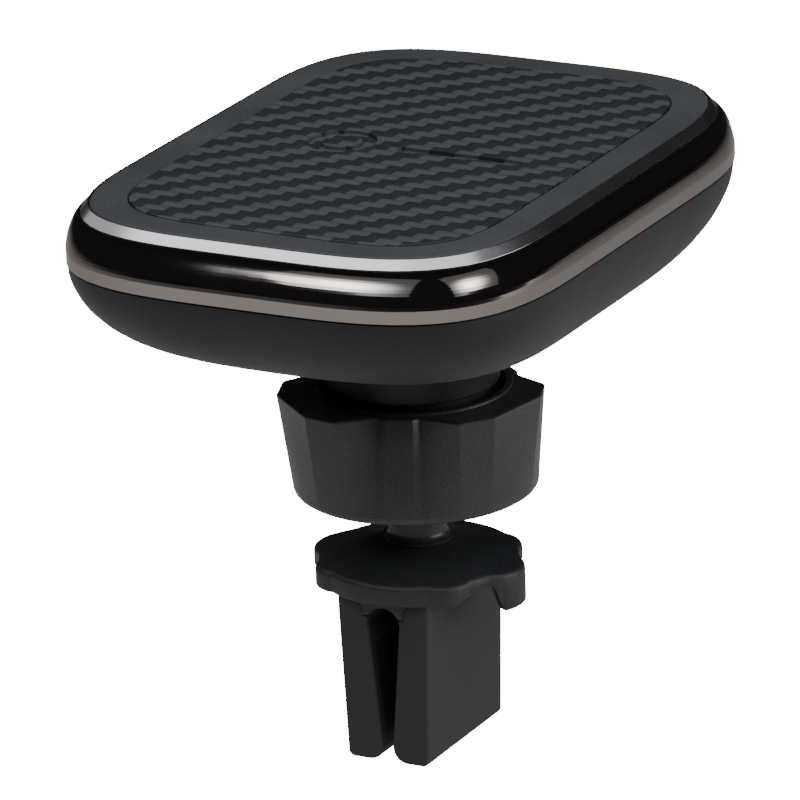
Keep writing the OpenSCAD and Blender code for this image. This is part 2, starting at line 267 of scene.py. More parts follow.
def moulded_grain():
    """Fine grain of a moulded or sprayed surface, with slow changes of tone and gloss.

    Height is noise at the grain's scale; colour and roughness drift with a far coarser noise.
    """
    name = "Moulded grain"
    if name in bpy.data.node_groups:
        return bpy.data.node_groups[name]
    group, n, given, out = new_group(
        name, {"Light": COLOUR, "Dark": COLOUR, "Scale": FLOAT, "Roughness": FLOAT, "Spread": FLOAT},
        {"Colour": COLOUR, "Roughness": FLOAT, "Height": FLOAT})
    place_at = n.add("ShaderNodeTexCoord").outputs["Object"]
    fine = n.add("ShaderNodeTexNoise", {"Vector": place_at, "Scale": given["Scale"], "Detail": 3.0,
                                        "Roughness": 0.6}).outputs[0]
    slow = n.add("ShaderNodeTexNoise", {"Vector": place_at, "Scale": 90.0, "Detail": 4.0}).outputs[0]
    tone = n.math("ADD", n.math("MULTIPLY", fine, 0.6), n.math("MULTIPLY", slow, 0.4))
    tone = n.add("ShaderNodeMapRange", {0: tone, 1: 0.35, 2: 0.65}).outputs[0]
    gloss = n.math("MULTIPLY", n.math("SUBTRACT", slow, 0.5), given["Spread"])
    n.tree.links.new(n.mix(tone, given["Dark"], given["Light"]), out["Colour"])
    n.tree.links.new(n.math("ADD", given["Roughness"], gloss, clamp=True), out["Roughness"])
    n.tree.links.new(fine, out["Height"])
    return group


def twill_weave():
    """A two-over, two-under twill of flat tows.

    With i and j the tow numbers along X and Y, the cross tow is on top where (i - j) modulo 4 is under 2.
    Each float is crowned across its tow as 1 - (2f - 1)^2 and falls away at its two ends as 1 - (2s - 1)^4.
    """
    name = "Twill weave"
    if name in bpy.data.node_groups:
        return bpy.data.node_groups[name]
    group, n, given, out = new_group(
        name, {"Pitch": FLOAT, "Cross tow": COLOUR, "Long tow": COLOUR, "Roughness": FLOAT},
        {"Colour": COLOUR, "Roughness": FLOAT, "Height": FLOAT})
    place_at = n.add("ShaderNodeTexCoord").outputs["Object"]
    wobble = n.add("ShaderNodeTexNoise", {"Vector": place_at, "Scale": 420.0, "Detail": 2.0}).outputs[0]
    axes = n.add("ShaderNodeSeparateXYZ", {0: place_at}).outputs
    shift = n.math("MULTIPLY", n.math("SUBTRACT", wobble, 0.5), 0.35)
    x = n.math("ADD", n.math("DIVIDE", axes[0], given["Pitch"]), shift)
    y = n.math("ADD", n.math("DIVIDE", axes[1], given["Pitch"]), shift)
    i, j = n.math("FLOOR", x), n.math("FLOOR", y)

    def crown(value, power):
        off = n.math("ABSOLUTE", n.math("SUBTRACT", n.math("MULTIPLY", value, 2.0), 1.0))
        return n.math("SUBTRACT", 1.0, n.math("POWER", off, power))

    cross = n.math("LESS_THAN", n.math("FLOORED_MODULO", n.math("SUBTRACT", i, j), 4.0), 2.0)
    along_x = n.math("DIVIDE", n.math("FLOORED_MODULO", n.math("SUBTRACT", x, j), 4.0), 2.0)
    turned = n.math("FLOORED_MODULO", n.math("SUBTRACT", i, y), 4.0)
    along_y = n.math("DIVIDE", n.math("SUBTRACT", turned, 1.0), 2.0)
    cross_h = n.math("MULTIPLY", crown(n.math("FRACT", y), 2.0), crown(along_x, 4.0))
    long_h = n.math("MULTIPLY", crown(n.math("FRACT", x), 2.0), crown(along_y, 4.0))
    height = n.add("ShaderNodeMix", {0: cross, 2: long_h, 3: cross_h}).outputs[0]

    def fibres(stretch):
        turn = n.add("ShaderNodeMapping", {"Vector": place_at, "Scale": stretch}).outputs[0]
        return n.add("ShaderNodeTexNoise", {"Vector": turn, "Scale": 1.0, "Detail": 3.0}).outputs[0]

    strand = n.add("ShaderNodeMix", {0: cross, 2: fibres((9000.0, 900.0, 900.0)),
                                     3: fibres((900.0, 9000.0, 900.0))}).outputs[0]
    # Painted sheen: the cross tows get a lighter colour than the long tows, standing in for the reflection
    # along their fibres; both are one fibre.
    colour = n.mix(cross, given["Long tow"], given["Cross tow"])
    # Painted shade: the colour darkens where the float's height falls, in the crevices at its edges and ends;
    # the fibre noise adds real tone.
    crevice_shade_and_fibres = n.math("ADD", 0.62, n.math("MULTIPLY", n.math("POWER", height, 0.4), 0.38))
    crevice_shade_and_fibres = n.math("MULTIPLY", crevice_shade_and_fibres, n.math("ADD", 0.75, n.math("MULTIPLY", strand, 0.5)))
    dark = n.mix(crevice_shade_and_fibres, (0, 0, 0, 1), colour)
    n.tree.links.new(dark, out["Colour"])
    rough = n.math("ADD", given["Roughness"], n.math("MULTIPLY", n.math("SUBTRACT", strand, 0.5), 0.3))
    n.tree.links.new(rough, out["Roughness"])
    n.tree.links.new(n.math("ADD", height, n.math("MULTIPLY", strand, 0.25)), out["Height"])
    return group


def polish_haze():
    """Faint haze and hairline marks on a polished or plated metal."""
    name = "Polish haze"
    if name in bpy.data.node_groups:
        return bpy.data.node_groups[name]
    group, n, given, out = new_group(
        name, {"Roughness": FLOAT, "Haze": FLOAT, "Scale": FLOAT}, {"Roughness": FLOAT, "Height": FLOAT})
    place_at = n.add("ShaderNodeTexCoord").outputs["Object"]
    cloud = n.add("ShaderNodeTexNoise", {"Vector": place_at, "Scale": given["Scale"],
                                         "Detail": 5.0}).outputs[0]
    turn = n.add("ShaderNodeMapping", {"Vector": place_at, "Scale": (300.0, 300.0, 9000.0)}).outputs[0]
    hair = n.add("ShaderNodeTexNoise", {"Vector": turn, "Scale": 1.0, "Detail": 2.0}).outputs[0]
    haze = n.math("MULTIPLY", n.math("POWER", cloud, 2.0), given["Haze"])
    n.tree.links.new(n.math("ADD", given["Roughness"], haze), out["Roughness"])
    n.tree.links.new(hair, out["Height"])
    return group


def principled(name, settings):
    """A new material, its node helper and its Principled shader with plain settings."""
    material = bpy.data.materials.new(name)
    material.use_nodes = True
    nodes = Nodes(material.node_tree)
    shader = material.node_tree.nodes["Principled BSDF"]
    for key, value in settings.items():
        shader.inputs[key].default_value = value
    return material, nodes, shader


def grained(name, colour, roughness, scale=5200.0, depth=0.02, contrast=0.3, spread=0.2, **settings):
    """A moulded, sprayed or foamed finish: depth is the grain's height in millimetres."""
    material, n, shader = principled(name, settings)
    light = [c * (1 + contrast) for c in colour] + [1]
    dark = [c * (1 - contrast) for c in colour] + [1]
    grain = n.add("ShaderNodeGroup", node_tree=moulded_grain())
    for key, value in {"Light": light, "Dark": dark, "Scale": scale, "Roughness": roughness,
                       "Spread": spread}.items():
        grain.inputs[key].default_value = value
    bump = n.add("ShaderNodeBump", {"Height": grain.outputs["Height"], "Strength": 1.0,
                                    "Distance": depth * MM})
    n.tree.links.new(grain.outputs["Colour"], shader.inputs["Base Color"])
    n.tree.links.new(grain.outputs["Roughness"], shader.inputs["Roughness"])
    n.tree.links.new(bump.outputs[0], shader.inputs["Normal"])
    return material


def plated(name, colour, roughness, haze=0.15, scale=240.0, depth=0.0004):
    """A metal finish with faint haze."""
    material, n, shader = principled(name, {"Base Color": [*colour, 1], "Metallic": 1.0})
    marks = n.add("ShaderNodeGroup", node_tree=polish_haze())
    for key, value in {"Roughness": roughness, "Haze": haze, "Scale": scale}.items():
        marks.inputs[key].default_value = value
    bump = n.add("ShaderNodeBump", {"Height": marks.outputs["Height"], "Strength": 1.0,
                                    "Distance": depth * MM})
    n.tree.links.new(marks.outputs["Roughness"], shader.inputs["Roughness"])
    n.tree.links.new(bump.outputs[0], shader.inputs["Normal"])
    return material


def woven(look, shape):
    """The inlay's woven finish, with painted sheen on the cross tows and painted shade in the weave's
    crevices.
    """
    material, n, shader = principled("weave_plate", {"Specular IOR Level": 0.35})
    weave = n.add("ShaderNodeGroup", node_tree=twill_weave())
    for key, value in {"Pitch": shape.tow_pitch * MM, "Cross tow": [*look.cross_tow_sheen, 1],
                       "Long tow": [*look.long_tow, 1], "Roughness": 0.5}.items():
        weave.inputs[key].default_value = value
    bump = n.add("ShaderNodeBump", {"Height": weave.outputs["Height"], "Strength": 1.0,
                                    "Distance": shape.weave_depth * MM})
    n.tree.links.new(weave.outputs["Colour"], shader.inputs["Base Color"])
    n.tree.links.new(weave.outputs["Roughness"], shader.inputs["Roughness"])
    n.tree.links.new(bump.outputs[0], shader.inputs["Normal"])
    return material


# --- Settings -------------------------------------------------------------------------------------

def length(label, text, value):
    """A size in millimetres."""
    return FloatProperty(name=label, description=text, default=value, min=0.0)


def colour(label, text, value):
    return FloatVectorProperty(name=label, description=text, subtype="COLOR", default=value, min=0.0,
                               max=1.0)


def angle(label, text, degrees):
    return FloatProperty(name=label, description=text, subtype="ANGLE", default=math.radians(degrees))


class MountShape(bpy.types.PropertyGroup):
    head_r: length("Corner size", "Size of the head's corners, in millimetres", 22.0)
    corner_power: FloatProperty(name="Corner power", description="2 is a circle", default=3.2, min=2.0)
    band_from: angle("Band from", "Angle on the ellipse where the bezel's polished band starts", 17.0)
    band_to: angle("Band to", "Angle on the ellipse where the polished band ends", 80.0)
    mark_depth: length("Mark depth", "Depth of the plain mark in the inlay, in millimetres", 0.4)
    tow_pitch: length("Tow pitch", "Width of one tow of the weave, in millimetres", 1.55)
    weave_depth: length("Weave depth", "Height of the weave's relief, in millimetres", 0.05)
    nut_edge: length("Nut edge", "Rounding of the nut's facet edges, in millimetres", 0.3)
    jaw_edge: length("Jaw edge", "Rounding of the jaws' edges, in millimetres", 0.4)


class MountFinish(bpy.types.PropertyGroup):
    # The tows are one black fibre: the cross tows' lighter colour is painted sheen, standing in for the
    # fibres' reflection.
    cross_tow_sheen: colour("Cross tow", "Tows that run across the jaws", (0.058, 0.066, 0.074))
    long_tow: colour("Long tow", "Tows that run along the blade", (0.016, 0.020, 0.026))
    frame: colour("Frame", "Soft frame round the inlay", (0.034, 0.040, 0.046))
    gunmetal: colour("Bezel", "Polished bezel", (0.40, 0.36, 0.335))
    # Painted reflection: lighter and bluer than the gunmetal, though the bevel is the same metal as the band.
    bevel: colour("Bevel", "Bezel's bright bevel", (0.50, 0.49, 0.52))
    shell: colour("Shell", "Soft rear shell", (0.0065, 0.0077, 0.0100))
    nut: colour("Nut", "Lock nut", (0.045, 0.048, 0.052))
    clip: colour("Clip", "Clip and jaws", (0.026, 0.028, 0.031))


class MountStudio(bpy.types.PropertyGroup):
    azimuth: angle("Azimuth", "Camera's angle round the mount", 28.08)
    elevation: angle("Elevation", "Camera's angle above the phone face", 17.45)
    distance: FloatProperty(name="Distance", description="Camera to phone face", unit="LENGTH",
                            default=0.8565)
    roll: angle("Roll", "Camera's roll", -2.2)
    lens: FloatProperty(name="Lens", description="Focal length in millimetres", default=347.2)
    aim: FloatVectorProperty(name="Aim", description="Point in the middle of the view", unit="LENGTH",
                             default=(-0.0013, -0.0007, 0.0239))
    drop: FloatProperty(name="Floor drop", description="Floor below the jaws' tips", unit="LENGTH",
                        default=0.045)
    overhead: FloatProperty(name="Overhead", description="Radiance of the overhead light", default=1.75)
    right: FloatProperty(name="Right fill", description="Radiance of the light on the right", default=2.4)
    bevel: FloatProperty(name="Bevel light", description="Radiance of the light for the bevel", default=0.65)
    low: FloatProperty(name="Low lights", description="Radiance of the two low lights", default=9.0)
    room: FloatProperty(name="Room", description="Brightness of the dim room in the reflections",
                        default=0.16)
    backdrop: FloatProperty(name="Backdrop", description="Brightness of the floor as seen", default=18.0)


# --- Pieces ---------------------------------------------------------------------------------------

def settings():
    scene = bpy.context.scene
    return scene.mount_shape, scene.mount_finish, scene.mount_studio


def head_rings(off, shape):
    """The head's outline set out by each of off from the frame's edge; corners grow 1.35 times as fast."""
    off = np.asarray(off, float)
    return outline(HEAD_X + off, HEAD_Y + off, shape.head_r + 1.35 * off, shape.corner_power)


def carried(profile, shape, loop=False):
    """A profile of (offset, height) carried round the head's outline."""
    return skin(at(head_rings(profile[:, 0], shape), profile[:, 1]), loop)


class MOUNT_OT_inlay(bpy.types.Operator):
    """Woven inlay under the phone, with a plain sunk ring and bar"""
    bl_idname = "mount.inlay"
    bl_label = "Inlay"

    def execute(self, context):
        shape, look, _ = settings()
        edge = -FRAME_W - 0.1
        profile = rounded([(edge - 3, INLAY_LOW), (edge, INLAY_LOW), (edge, FACE), (edge - 3, FACE)],
                          [0.1, 0.15], closed=False)
        low = FACE - shape.mark_depth
        ring = rounded([(2.3, low), (3.9, low), (4.0, FACE + 0.5), (2.2, FACE + 0.5)], 0.04, 2, 0.02)
        points, faces = lathe(ring, 96, loop=True)
        slot = outline([7.6, 7.7], [0.85, 0.95], [0.85, 0.95], 2)
        bar_cut = skin(at(slot, [low, FACE + 0.5]))
        cuts = [(points + [-7.6, -0.2, 0], faces), (bar_cut[0] + [7.2, -0.6, 0], bar_cut[1])]
        place("inlay", [carried(profile, shape)], woven(look, shape), "head", "weave_plate", "front_inlay",
              cuts=cuts)
        return {"FINISHED"}


class MOUNT_OT_frame(bpy.types.Operator):
    """Soft-touch frame that holds the inlay"""
    bl_idname = "mount.frame"
    bl_label = "Frame"

    def execute(self, context):
        shape, look, _ = settings()
        floor = INLAY_LOW - 0.2
        inner = -FRAME_W
        profile = rounded([(-8, FRAME_LOW), (0, FRAME_LOW), (0, FRAME_TOP), (inner, FRAME_TOP),
                           (inner, floor),
                           (-8, floor)], [0.2, 0.3, 0.2, 0.1], closed=False)
        soft = grained("soft_frame", look.frame, 0.62, scale=4200, depth=0.035)
        place("soft_frame", [carried(profile, shape)], soft, "head", "soft_frame", "front_frame")
        return {"FINISHED"}


class MOUNT_OT_bezel(bpy.types.Operator):
    """Polished bezel: a flat strip, a bowed band above it and a bevel round the frame, bright from its own
    light and from a painted reflection in its lighter colour
    """
    bl_idname = "mount.bezel"
    bl_label = "Bezel"

    def band(self, low, high, start, end):
        """The part of an ellipse between two angles, stretched to run from low up to high."""
        t = np.linspace(start, end, 15)
        across = (np.cos(t) - math.cos(end)) / (math.cos(start) - math.cos(end))
        up = (np.sin(t) - math.sin(start)) / (math.sin(end) - math.sin(start))
        return np.stack([high[0] + (low[0] - high[0]) * across, low[1] + (high[1] - low[1]) * up], -1)

    def execute(self, context):
        shape, look, _ = settings()
        step = FRAME_TOP - 1.2
        band = self.band((BEZEL_W, FACE - 5.2), (1.1, step), shape.band_from, shape.band_to)
        inner, under = BEZEL_W - 1.5, FRAME_LOW - 0.1
        points = np.concatenate([[(BEZEL_W, STRIP_LOW)], band, [
            (0.1, step), (0.1, under), (-1.6, under), (-1.6, under - 1.2), (inner, under - 1.2),
            (inner, STRIP_LOW)]])
        radii = np.concatenate([[0.1, 0.12], np.full(len(band) - 2, 2.0), np.full(7, 0.05)])
        profile = rounded(points, radii, 3, 0.02)
        polish = plated("gunmetal", look.gunmetal, 0.045, 0.06, 160)
        place("bezel_band", [carried(profile, shape, loop=True)], polish, "head", "gunmetal", "bezel_ring",
              crease=20)
        top, foot = FRAME_TOP - 0.1, step + 0.02
        trim = rounded([(1.07, foot), (0.25, top), (0.1, top), (0.1, foot)], 0.05, 3, 0.02)
        # Painted reflection: the bevel is the same gunmetal as the band, given a lighter colour so that it
        # looks evenly bright; its own light adds real light.
        satin = plated("bevel_metal_painted_reflection", look.bevel, 0.2, 0.08, 160)
        place("bezel_bevel", [carried(trim, shape, loop=True)], satin, "head", "gunmetal", "bezel_ring",
              crease=20)
        return {"FINISHED"}


class MOUNT_OT_shell(bpy.types.Operator):
    """Soft-touch rear shell that flows into the neck over the ball joint"""
    bl_idname = "mount.shell"
    bl_label = "Rear shell"

    wall = 1.8
    depth = 11.0
    turn_in = 9.0
    neck_r, neck_top_r, bore = 9.9, 16.0, 8.95

    def section(self, t, wall, shape):
        """Nearly elliptic sides: the outline draws in by (1 - cos t)^0.9 and drops by sin t.

        Known fault: in the lowest rings the corner size is over half the width, so they fold over at x = 0.
        """
        turn = self.turn_in * (1 - np.cos(t)) ** 0.9
        edge = BEZEL_W - 0.1 - wall
        size = shape.head_r + 1.35 * BEZEL_W - wall - turn / 4
        xy = outline(HEAD_X + edge - turn, HEAD_Y + edge - 1.6 * turn, size, shape.corner_power)
        return at(xy, self.top - (self.depth - wall) * np.sin(t))

    def execute(self, context):
        shape, look, _ = settings()
        self.top = STRIP_LOW - 0.2
        low = self.top - self.depth
        outside = self.section(np.linspace(np.pi / 2, 0, 25), 0, shape)
        inside = self.section(np.linspace(0, np.pi / 2, 13), self.wall, shape)
        way = outside[0, :, :2] / np.linalg.norm(outside[0, :, :2], axis=1, keepdims=True)
        t = np.linspace(0, np.pi / 2, 19)
        flow = np.stack([self.neck_r + (self.neck_top_r - self.neck_r) * (1 - np.cos(t)),
                         NECK_LOW + (low - NECK_LOW) * np.sin(t)], -1)
        neck = rounded([(2, SOCKET_TOP), (self.bore, SOCKET_TOP), (self.bore, NECK_LOW),
                        (self.neck_r, NECK_LOW),
                        (self.neck_r, NECK_LOW + 2)], [0.1, 0.2, 0.3], closed=False)
        neck = np.concatenate([neck[:-1], flow[2:]])
        neck_rows = at(neck[:, None, :1] * way[None], neck[:, 1])
        s = np.linspace(0, 1, 7)[1:-1, None, None]
        flat = (1 - s) * neck_rows[-1:] + s * outside[:1]
        rim = at(head_rings([BEZEL_W - 0.16, BEZEL_W - 0.35, BEZEL_W - 1.6, BEZEL_W - 1.6, BEZEL_W - 3],
                            shape),
                 [self.top + 0.02, self.top + 0.08, self.top + 0.08, SHELL_LIP - 3, self.top])
        rows = np.concatenate([neck_rows, flat, outside, rim[:3], inside])
        soft = grained("soft_shell", look.shell, 0.5, scale=4600, depth=0.03, **{"Sheen Weight": 0.05})
        posts = [lathe(rounded([(0.4, z), (r, z), (r, top), (0.4, top)], [0.1, 0.2], closed=False), 32)
                 for r, z, top in [(2.6, low + 1, FRAME_LOW - 4.8), (2.1, low + 6, FRAME_LOW - 0.05)]]
        places = [[(13.6, 10), (13.6, -10), (-13.6, 10), (-13.6, -10)],
                  [(18.7, 19.5), (18.7, -19.5), (-18.7, 19.5), (-18.7, -19.5)]]
        bosses = [(post[0] + [x, y, 0], post[1]) for post, group in zip(posts, places) for x, y in group]
        place("rear_shell_skin", [skin(rows), *bosses], soft, "head", "soft_shell", "rear_shell")
        return {"FINISHED"}


class MOUNT_OT_nut(bpy.types.Operator):
    """Lock nut with three finger flats, a lip round its bore and three small lock marks"""
    bl_idname = "mount.nut"
    bl_label = "Lock nut"

    foot_r, lip_r, thread_r, mouth_r = 13.9, 11.3, 10.45, 8.4

    def execute(self, context):
        shape, look, _ = settings()
        corners = np.array([(-28, 14.9), (-11, 11.8), (-7, 12.3), (7, 12.3), (11, 11.8), (28, 14.9),
                            (44, 15.4), (76, 15.4)])
        turned = np.radians(np.concatenate([corners[:, 0] + 120 * k - 70 for k in range(3)]))
        reach = np.tile(corners[:, 1], 3)
        polygon = np.stack([reach * np.cos(turned), reach * np.sin(turned)], -1)
        top = rounded(polygon, shape.nut_edge, 4, 0.1)
        ahead = np.roll(top, -1, 0)
        s = np.linspace(0, 1, 5)[:-1, None, None]
        long_side = np.linalg.norm(ahead - top, axis=1) > 1.0
        extra = ((1 - s) * top + s * ahead)[:, long_side]
        keep = np.ones((4, len(top)), bool)
        keep[1:, ~long_side] = False
        every = np.zeros((4, len(top), 2))
        every[:] = top
        every[:, long_side] = extra
        top = every.transpose(1, 0, 2)[keep.T]
        radius = np.linalg.norm(top, axis=1)
        way = top / radius[:, None]
        high = LIP_TOP - 0.25
        low = NUT_LOW
        # share of the lobed outline, radius taken off it, radius of the round part, height
        e = 0.3
        q = np.linspace(0, np.pi / 2, 5)
        foot = [(0, 0, self.foot_r - 0.8 * (1 - math.sin(a)), low + 0.8 * (1 - math.cos(a))) for a in q]
        edge = [(1, e * (1 - math.cos(a)), 0, high - e * (1 - math.sin(a))) for a in q]
        cone = SOCKET_LOW + 2
        rings = np.array([
            (0, 0, self.thread_r, cone), (0, 0, self.mouth_r + 0.5, SOCKET_LOW - 0.9),
            (0, 0, self.mouth_r, SOCKET_LOW - 0.95), (0, 0, self.mouth_r, low + 0.3),
            (0, 0, self.mouth_r + 0.3, low), (0, 0, self.foot_r - 0.9, low), *foot,
            (0.02, 0, self.foot_r, low + 1.0), (0.34, 0, self.foot_r, low + 4.6),
            (0.66, 0, self.foot_r, low + 8.2),
            (0.97, 0, self.foot_r, high - 0.45), *edge, (1, e + 0.1, 0, high),
            (0, 0, self.lip_r + 0.15, high), (0, 0, self.lip_r + 0.04, high + 0.04),
            (0, 0, self.lip_r, high + 0.12),
            (0, 0, self.lip_r - 0.1, LIP_TOP), (0, 0, self.thread_r + 0.12, LIP_TOP),
            (0, 0, self.thread_r, LIP_TOP - 0.12)])
        share, off, round_r, z = (rings[:, i, None] for i in range(4))
        distance = share * (radius[None] - off) + (1 - share) * round_r
        body = skin(at(distance[..., None] * way[None], z[:, 0]), loop=True)
        tri = np.array([(-0.6, 0.9), (-0.05, -0.9), (0.05, -0.9), (0.6, 0.9)])[::-1]
        marks = []
        for k in range(3):
            t = math.radians(120 * k - 10)
            x, y = tri[::-1, 0] + 13.0, tri[::-1, 1]
            spun = np.stack([x * math.cos(t) - y * math.sin(t), x * math.sin(t) + y * math.cos(t)], -1)
            marks.append(skin(at(np.stack([spun[::-1], spun[::-1]]), [high - 0.25, high + 0.5])))
        satin = grained("nut_plastic", look.nut, 0.34, scale=3800, depth=0.02, spread=0.25)
        place("nut_body", [body], satin, "nut", "nut_plastic", "lock_nut", cuts=marks, crease=40)
        return {"FINISHED"}


class MOUNT_OT_clip(bpy.types.Operator):
    """Clip body: a domed flange with two ears, one turned down as a pull lip, over the root of the jaws"""
    bl_idname = "mount.clip"
    bl_label = "Clip body"

    rim, under, hollow = 5.4, 3.1, 1.1
    flange_x, corner, ear_y, ear_r = 9.6, 3.4, 4.0, 3.9
    stem_r = 3.3

    def dome(self, r):
        """The flange's top: it rises to the stem as the 1.7th power of the way in from the rim."""
        reach = EAR_X + 1
        share = np.clip((reach - r) / (reach - self.stem_r), 0, 1)
        return self.rim + (APEX - self.rim) * share ** 1.7

    def flange(self):
        """Rings from the middle of the underside, over the lip and the edge, to the middle of the top."""
        t = np.linspace(0, 2 * np.pi, 289)[:-1]

        def reach(a, b, r):
            ring = outline(a, b, r, 2, 60)[0]
            turn = np.unwrap(np.arctan2(ring[:, 1], ring[:, 0]))
            return np.interp(t, turn, np.linalg.norm(ring, axis=1), period=2 * np.pi)

        k = 22
        plate, ears = reach(self.flange_x, FLANGE_Y, self.corner), reach(EAR_X, self.ear_y, self.ear_r)
        edge = (plate ** k + ears ** k) ** (1 / k)
        edge *= EAR_X / edge.max()
        ring = np.stack([edge * np.cos(t), edge * np.sin(t)], -1)
        # inset from the edge, share of the lip's drop, lift of the lower edge
        lower = np.array([(3.6, 0, 0), (2.6, 0, 0), (2.2, 0.05, 0), (1.85, 0.16, 0), (1.6, 0.38, 0),
                          (1.5, 0.62, 0),
                          (1.44, 0.85, 0), (1.3, 0.95, 0), (1.1, 0.995, 0), (0.7, 1, 0), (0.45, 1, 0),
                          (0.22, 1, 0.05), (0.07, 1, 0.16), (0, 1, 0.34)])
        upper = np.array([(0, 0.55), (0.04, 0.33), (0.13, 0.16), (0.28, 0.05), (0.5, 0), (0.62, 0)])
        low_rings = np.stack([inset(ring, d) for d in lower[:, 0]])
        lip = np.clip((ring[:, 0] - 11.1) / 1.1, 0, 1)
        lip = lip * lip * (3 - 2 * lip)
        base = self.under + self.hollow * np.clip((ring[:, 0] - 9.0) / 1.3, 0, 1) ** 0.7
        low_z = base - (base - 1.0) * lower[:, 1:2] * lip + lower[:, 2:3]
        high_rings = np.stack([inset(ring, d) for d in upper[:, 0]])
        s = np.linspace(0, 1, 17)[1:, None, None]
        inner = ring / edge[:, None] * (self.stem_r - 0.3)
        high_rings = np.concatenate([high_rings, (1 - s) * high_rings[-1] + s * inner])
        cut = np.append(upper[:, 1], np.zeros(16))[:, None]
        high_z = self.dome(np.linalg.norm(high_rings, axis=-1)) - cut
        return skin(np.concatenate([at(low_rings, low_z), at(high_rings, high_z)]))

    def root(self, edge):
        """End view of the root: it is hollowed round each jaw's knuckle and by the slot's round end."""
        pocket = KNUCKLE_R + 0.05
        side = math.degrees(math.acos((JAW_X - PIVOT_X) / pocket))
        below = math.degrees(math.asin((ROOT_LOW - PIVOT_Z) / pocket))
        slot = math.degrees(math.asin(ROOT_LOW / SLOT_R))
        knuckle = arc(PIVOT_X, PIVOT_Z, pocket, side, 180 - below, 14)
        arch = arc(0, 0, SLOT_R, slot, 180 - slot, 16)
        top = np.array([(JAW_X, self.under + 0.4)])
        points = np.concatenate([top, knuckle, arch, knuckle[::-1] * [-1, 1], top * [-1, 1]])
        seam = np.full(len(knuckle), 0.97)
        firm = np.concatenate([[0], seam, np.full(len(arch), 0.5), seam, [0]])
        return bar(points[::-1], JAW_Y, edge, firm, JAW_X)

    def execute(self, context):
        shape, look, _ = settings()
        plastic = grained("clip_plastic", look.clip, 0.46, scale=4200, depth=0.025)
        place("clip_frame", [self.flange(), self.root(shape.jaw_edge)], plastic, "clip", "clip_plastic",
              "clip_body", crease=40)
        return {"FINISHED"}


PIVOT_X, PIVOT_Z, KNUCKLE_R, SLOT_R = 4.4, 1.2, 1.8, 2.0
FACE_TOP, TIP_R, TIP_GAP = -0.9, 1.8, 1.2


class MOUNT_OT_jaws(bpy.types.Operator):
    """The two sprung jaws, with pockets for their grip pads"""
    bl_idname = "mount.jaws"
    bl_label = "Jaws"

    seam, taper = 0.05, 0.6

    def inner_x(self, z):
        """How far the inner face stands from the middle: a straight line from the slot's end to the tips."""
        low = JAW_LOW + TIP_R
        return TIP_GAP / 2 + (SLOT_R - 0.15 - TIP_GAP / 2) * (z - low) / (FACE_TOP - low)

    def end_view(self):
        """Counter-clockwise from the tip's inner rounding, up the outside, over the knuckle, down the slot.

        Also how firmly each point holds against the rounding of the ends.
        """
        low_x = JAW_X - self.taper
        tip = JAW_LOW + TIP_R
        top = ROOT_LOW - self.seam
        side = math.degrees(math.acos((JAW_X - PIVOT_X) / KNUCKLE_R))
        inner = 180 - math.degrees(math.asin((top - PIVOT_Z) / KNUCKLE_R))
        slot = math.degrees(math.asin(top / SLOT_R))
        knuckle, arch = arc(PIVOT_X, PIVOT_Z, KNUCKLE_R, side, inner, 16), arc(0, 0, SLOT_R, slot, -21, 8)
        points = np.concatenate([
            arc(self.inner_x(tip) + TIP_R, tip, TIP_R, 180, 270, 8),
            arc(low_x - 0.8, JAW_LOW + 0.8, 0.8, 270, 360, 6), [(JAW_X, PIVOT_Z)], knuckle, arch,
            [(self.inner_x(-2.6), -2.6)]])
        firm = np.concatenate([np.zeros(17), np.full(len(knuckle), 0.97), np.full(len(arch), 0.5), [0]])
        return points, firm

    def execute(self, context):
        shape, look, _ = settings()
        plastic = bpy.data.materials["clip_plastic"]
        points, firm = self.end_view()
        jaw = bar(points, JAW_Y, shape.jaw_edge, firm, JAW_X)
        low, high = (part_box("right_grip_pad")[i][2] / MM for i in (0, 1))
        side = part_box("right_grip_pad")[1][1] / MM
        face = np.array([(self.inner_x(low) - 0.5, low), (self.inner_x(low) + 0.7, low),
                         (self.inner_x(high) + 0.7, high), (self.inner_x(high) - 0.5, high)])
        y = np.array([side, -side])[:, None]
        rings = np.broadcast_to(face, (2, 4, 2))
        pocket = skin(np.stack([rings[..., 0], np.broadcast_to(y, (2, 4)), rings[..., 1]], -1))
        for name, node, turned in (("jaw_right", "right_jaw", False), ("jaw_left", "left_jaw", True)):
            parts = [mirrored(jaw) if turned else jaw]
            cuts = [mirrored(pocket) if turned else pocket]
            place(name, parts, plastic, node, "clip_plastic", node, cuts=cuts, crease=40)
        return {"FINISHED"}


class MOUNT_OT_stud(bpy.types.Operator):
    """Ball stud: the ball, its stem with a small flare at the flange, and the foot inside the clip"""
    bl_idname = "mount.stud"
    bl_label = "Ball stud"

    def execute(self, context):
        _, look, _ = settings()
        ball, stem, foot = 8.5, 3.3, 4.6
        centre = BALL_TOP - ball
        start = math.degrees(math.asin(stem / ball)) - 90
        profile = np.concatenate([
            [(0.5, FOOT_LOW), (foot, FOOT_LOW), (foot, FOOT_LOW + 1.4), (stem, FOOT_LOW + 1.4),
             (stem, APEX - 0.3),
             (stem + 0.75, APEX - 0.25)], arc(stem + 0.8, APEX + 0.75, 0.8, 270, 180, 8),
            arc(0, centre, ball, start, 88, 40)])
        plastic = grained("stud_plastic", look.nut, 0.3, scale=3600, depth=0.006)
        place("ball_and_stem", [lathe(profile, 96)], plastic, "clip", "clip_plastic", "ball_stud", crease=30)
        return {"FINISHED"}


